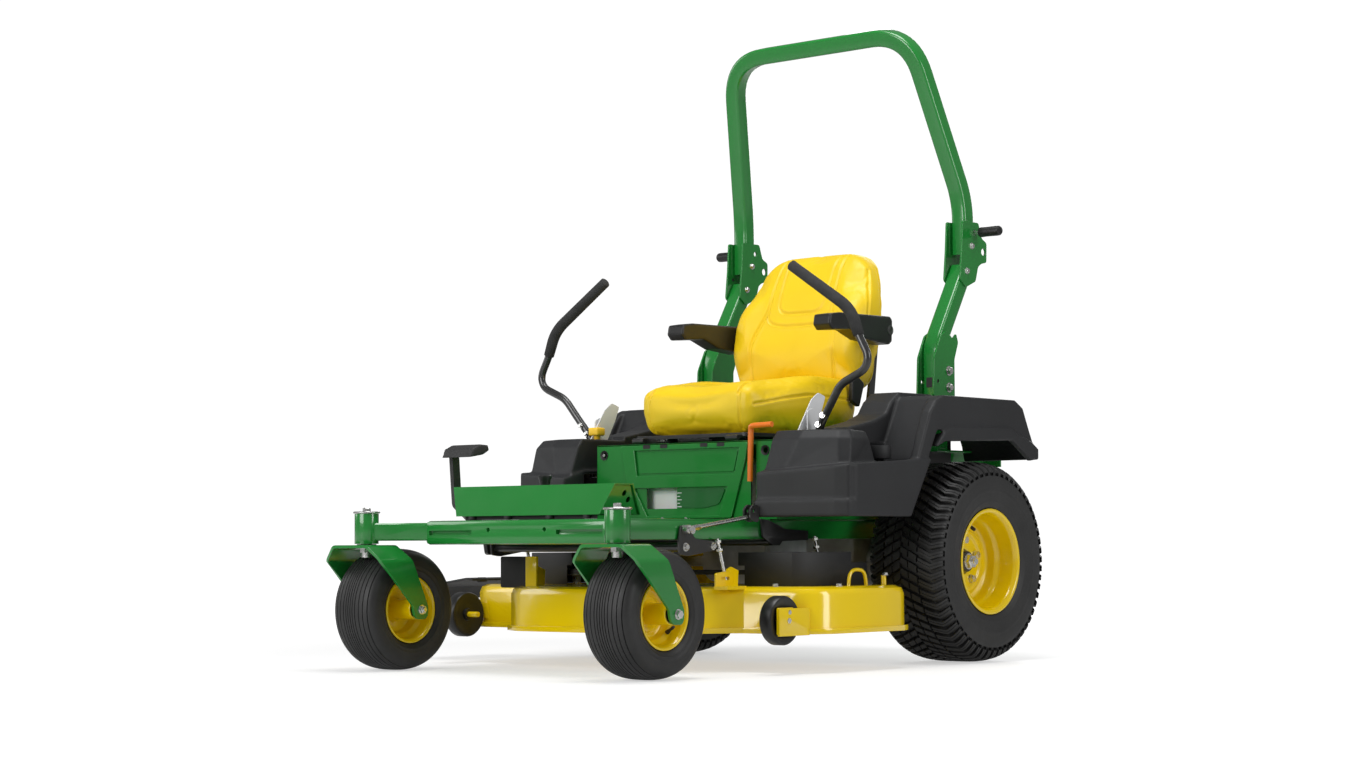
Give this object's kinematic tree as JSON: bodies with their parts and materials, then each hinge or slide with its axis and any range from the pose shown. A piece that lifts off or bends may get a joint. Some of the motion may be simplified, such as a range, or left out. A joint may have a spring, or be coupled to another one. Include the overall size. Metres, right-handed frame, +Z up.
{
  "type": "riding lawn mower",
  "caption": "Zero-turn riding lawn mower: tube frame on caster and drive wheels, belly mowing deck, padded seat with swing-out levers and a folding roll bar.",
  "frame": {"origin": "on the ground under the middle of the machine's box", "axes": "+X to the machine's left, -Y to its front, +Z up"},
  "size_m": [1.4974, 1.927, 1.8395],
  "materials": {
    "green_paint": "gloss powder coat, dark leaf green",
    "yellow_paint": "gloss paint, warm yellow",
    "yellow_vinyl": "soft vinyl, warm yellow",
    "black_plastic": "moulded, fine texture",
    "black_paint": "semi-gloss powder coat",
    "rubber": "matte",
    "tyre": "matte black",
    "steel": "zinc plated",
    "cast_metal": "cast",
    "muffler_metal": "dull",
    "tank_plastic": "translucent white",
    "orange_paint": "gloss",
    "yellow_knob": "moulded"
  },
  "bodies": {
    "chassis": {"rail_left": "green_paint", "rail_right": "green_paint", "front_beam": "green_paint", "rear_frame": "green_paint", "floor_pan": "green_paint", "foot_guard": "green_paint", "seat_tower": "green_paint", "fuel_tank": "tank_plastic", "console_left": "black_plastic", "console_right": "black_plastic", "fender_left": "black_plastic", "fender_right": "black_plastic", "engine_block": "cast_metal", "engine_shroud": "black_plastic", "muffler": "muffler_metal", "rear_bumper": "green_paint", "transaxle_left": "cast_metal", "transaxle_right": "cast_metal", "rops_post_left": "green_paint", "rops_post_right": "green_paint"},
    "roll_bar": {"rops_hoop": "green_paint"},
    "lock_pin_left": {"rops_pin_left": "black_plastic"},
    "lock_pin_right": {"rops_pin_right": "black_plastic"},
    "seat": {"seat_pan": "black_paint", "seat_cushion": "yellow_vinyl", "seat_back": "yellow_vinyl"},
    "arm_left": {"armrest_left": "black_plastic"},
    "arm_right": {"armrest_right": "black_plastic"},
    "yoke_left": {"lever_yoke_left": "steel"},
    "yoke_right": {"lever_yoke_right": "steel"},
    "stick_left": {"lever_left": "black_paint"},
    "stick_right": {"lever_right": "black_paint"},
    "caster_left": {"caster_fork_left": "green_paint"},
    "caster_right": {"caster_fork_right": "green_paint"},
    "front_wheel_left": {"caster_rim_left": "yellow_paint", "caster_tyre_left": "tyre"},
    "front_wheel_right": {"caster_rim_right": "yellow_paint", "caster_tyre_right": "tyre"},
    "rear_wheel_left": {"drive_rim_left": "yellow_paint", "drive_tyre_left": "tyre"},
    "rear_wheel_right": {"drive_rim_right": "yellow_paint", "drive_tyre_right": "tyre"},
    "deck": {"deck_shell": "yellow_paint", "belt_cover_left": "black_plastic", "belt_cover_right": "black_plastic", "mower_belt": "rubber"},
    "spindle_left": {"blade_left": "steel"},
    "spindle_center": {"blade_center": "steel"},
    "spindle_right": {"blade_right": "steel"},
    "roller_left": {"deck_roller_left": "black_plastic"},
    "roller_right": {"deck_roller_right": "black_plastic"},
    "chute": {"discharge_chute": "rubber"},
    "front_lift": {"lift_shaft": "black_paint"},
    "rear_lift": {"rear_lift_shaft": "black_paint"},
    "lift_link": {"lift_rod": "steel"},
    "clutch": {"pto_clutch": "steel"},
    "pto_switch": {"pto_knob": "yellow_knob"},
    "height_dial": {"height_knob": "black_plastic"},
    "brake": {"brake_handle": "orange_paint"},
    "tank_cap": {"fuel_cap": "black_plastic"}
  },
  "joints": [
    {"name": "caster_swivel_left", "type": "hinge", "parent": "chassis", "child": "caster_left", "pos_m": [0.54715, -0.9008, 0.333], "axis": [0, 0, 1], "continuous": true},
    {"name": "front_wheel_spin_left", "type": "hinge", "parent": "caster_left", "child": "front_wheel_left", "pos_m": [0.54715, -0.8019, 0.1616], "axis": [1, 0, 0], "continuous": true},
    {"name": "rear_wheel_spin_left", "type": "hinge", "parent": "chassis", "child": "rear_wheel_left", "pos_m": [0.62365, 0.4485, 0.2794], "axis": [1, 0, 0], "continuous": true},
    {"name": "lock_pin_pull_left", "type": "slide", "parent": "chassis", "child": "lock_pin_left", "axis": [1, 0, 0], "range_m": [0, 0.018], "stiffness_N_per_m": 400, "springref_m": -0.01},
    {"name": "armrest_fold_left", "type": "hinge", "parent": "seat", "child": "arm_left", "pos_m": [0.37135, 0.4345, 0.944], "axis": [-1, 0, 0], "range_deg": [0, 80]},
    {"name": "lever_stroke_left", "type": "hinge", "parent": "chassis", "child": "yoke_left", "pos_m": [0.50135, -0.0415, 0.56], "axis": [1, 0, 0], "range_deg": [-15, 20]},
    {"name": "lever_swing_left", "type": "hinge", "parent": "yoke_left", "child": "stick_left", "pos_m": [0.50135, -0.0415, 0.56], "axis": [0, 1, 0], "range_deg": [0, 20]},
    {"name": "roller_spin_left", "type": "hinge", "parent": "deck", "child": "roller_left", "pos_m": [0.66635, -0.4175, 0.137], "axis": [1, 0, 0], "continuous": true},
    {"name": "caster_swivel_right", "type": "hinge", "parent": "chassis", "child": "caster_right", "pos_m": [-0.34445, -0.9008, 0.333], "axis": [0, 0, 1], "continuous": true},
    {"name": "front_wheel_spin_right", "type": "hinge", "parent": "caster_right", "child": "front_wheel_right", "pos_m": [-0.34445, -0.8019, 0.1616], "axis": [1, 0, 0], "continuous": true},
    {"name": "rear_wheel_spin_right", "type": "hinge", "parent": "chassis", "child": "rear_wheel_right", "pos_m": [-0.42095, 0.4485, 0.2794], "axis": [1, 0, 0], "continuous": true},
    {"name": "lock_pin_pull_right", "type": "slide", "parent": "chassis", "child": "lock_pin_right", "axis": [-1, 0, 0], "range_m": [0, 0.018], "stiffness_N_per_m": 400, "springref_m": -0.01},
    {"name": "armrest_fold_right", "type": "hinge", "parent": "seat", "child": "arm_right", "pos_m": [-0.16865, 0.4345, 0.944], "axis": [-1, 0, 0], "range_deg": [0, 80]},
    {"name": "lever_stroke_right", "type": "hinge", "parent": "chassis", "child": "yoke_right", "pos_m": [-0.29865, -0.0415, 0.56], "axis": [1, 0, 0], "range_deg": [-15, 20]},
    {"name": "lever_swing_right", "type": "hinge", "parent": "yoke_right", "child": "stick_right", "pos_m": [-0.29865, -0.0415, 0.56], "axis": [0, -1, 0], "range_deg": [0, 20]},
    {"name": "roller_spin_right", "type": "hinge", "parent": "deck", "child": "roller_right", "pos_m": [-0.46365, -0.4175, 0.137], "axis": [1, 0, 0], "continuous": true},
    {"name": "roll_bar_fold", "type": "hinge", "parent": "chassis", "child": "roll_bar", "pos_m": [0.10135, 0.6605, 1.195], "axis": [-1, 0, 0], "range_deg": [0, 110]},
    {"name": "seat_tilt", "type": "hinge", "parent": "chassis", "child": "seat", "pos_m": [0.10135, -0.1175, 0.622], "axis": [1, 0, 0], "range_deg": [0, 50]},
    {"name": "deck_lift", "type": "slide", "parent": "chassis", "child": "deck", "axis": [0, 0, 1], "range_m": [-0.05, 0.015]},
    {"name": "front_lift_turn", "type": "hinge", "parent": "chassis", "child": "front_lift", "pos_m": [0.10135, -0.5195, 0.324], "axis": [1, 0, 0], "range_deg": [-25, 12]},
    {"name": "rear_lift_turn", "type": "hinge", "parent": "chassis", "child": "rear_lift", "pos_m": [0.10135, -0.1395, 0.335], "axis": [1, 0, 0], "range_deg": [-25, 12]},
    {"name": "lift_link_slide", "type": "slide", "parent": "chassis", "child": "lift_link", "axis": [0, -1, 0], "range_m": [-0.03, 0.03]},
    {"name": "spindle_spin_center", "type": "hinge", "parent": "deck", "child": "spindle_center", "pos_m": [0.10135, -0.3165, 0.128], "axis": [0, 0, 1], "continuous": true},
    {"name": "spindle_spin_left", "type": "hinge", "parent": "deck", "child": "spindle_left", "pos_m": [0.49335, -0.1365, 0.128], "axis": [0, 0, 1], "continuous": true},
    {"name": "spindle_spin_right", "type": "hinge", "parent": "deck", "child": "spindle_right", "pos_m": [-0.29065, -0.1365, 0.128], "axis": [0, 0, 1], "continuous": true},
    {"name": "clutch_spin", "type": "hinge", "parent": "chassis", "child": "clutch", "pos_m": [0.10135, 0.6485, 0.33], "axis": [0, 0, 1], "continuous": true},
    {"name": "chute_flip", "type": "hinge", "parent": "deck", "child": "chute", "pos_m": [-0.53265, -0.1465, 0.2315], "axis": [0, 1, 0], "range_deg": [0, 75]},
    {"name": "pto_pull", "type": "slide", "parent": "chassis", "child": "pto_switch", "axis": [0, 0, 1], "range_m": [0, 0.012]},
    {"name": "height_dial_turn", "type": "hinge", "parent": "chassis", "child": "height_dial", "pos_m": [-0.14865, -0.4195, 0.3975], "axis": [0, 0, 1], "range_deg": [-140, 140]},
    {"name": "brake_handle_turn", "type": "hinge", "parent": "chassis", "child": "brake", "pos_m": [0.36035, -0.1475, 0.501], "axis": [1, 0, 0], "range_deg": [0, 30]},
    {"name": "tank_cap_turn", "type": "hinge", "parent": "chassis", "child": "tank_cap", "pos_m": [0.60735, 0.0965, 0.4755], "axis": [0, 0, 1], "range_deg": [0, 90]}
  ],
  "couplings": [
    {"joint": "front_lift_turn", "follows": "deck_lift", "rad_per_m": 7.7},
    {"joint": "rear_lift_turn", "follows": "deck_lift", "rad_per_m": 7.7},
    {"joint": "lift_link_slide", "follows": "deck_lift", "ratio": 0.354},
    {"joint": "spindle_spin_left", "follows": "spindle_spin_center", "ratio": 1},
    {"joint": "spindle_spin_right", "follows": "spindle_spin_center", "ratio": 1},
    {"joint": "clutch_spin", "follows": "spindle_spin_center", "ratio": 0.873}
  ]
}
